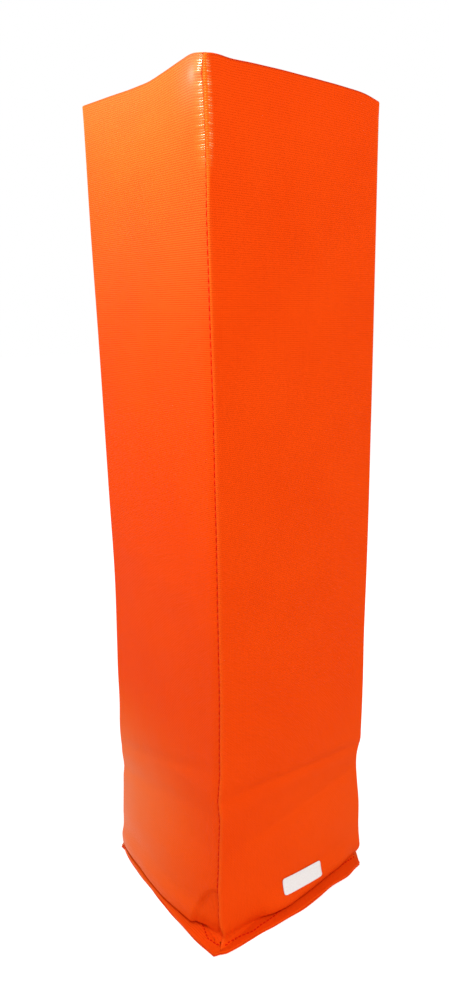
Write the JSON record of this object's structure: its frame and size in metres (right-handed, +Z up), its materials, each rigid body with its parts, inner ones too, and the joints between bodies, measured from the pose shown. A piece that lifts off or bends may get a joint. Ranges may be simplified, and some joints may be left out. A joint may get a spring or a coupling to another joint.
{
  "type": "end zone pylon",
  "caption": "Soft square marker post: a sewn orange vinyl cover with an outward bottom flange, over a foam core that stands on a sand bag.",
  "frame": {"origin": "on the floor under the middle of the square cover", "axes": "+Z up the pylon; -Y out of the front face, which carries the blank label; +X to that face's right"},
  "size_m": [0.1298, 0.1298, 0.457],
  "materials": {
    "vinyl": "satin",
    "seam_thread": "matte",
    "foam": "matte",
    "sack_cloth": "matte",
    "sack_thread": "matte",
    "sand": "matte",
    "label": "satin"
  },
  "bodies": {
    "root": {"front_panel": "vinyl", "right_panel": "vinyl", "back_panel": "vinyl", "left_panel": "vinyl", "top_panel": "vinyl", "bottom_panel": "vinyl", "front_left_seam_thread": "seam_thread", "front_right_seam_thread": "seam_thread", "back_right_seam_thread": "seam_thread", "back_left_seam_thread": "seam_thread", "top_seam_thread": "seam_thread", "bottom_seam_thread": "seam_thread", "foam_core": "foam", "sand_bag": "sack_cloth", "sand_bag_thread": "sack_thread", "sand_fill": "sand", "blank_label": "label"}
  },
  "joints": []
}
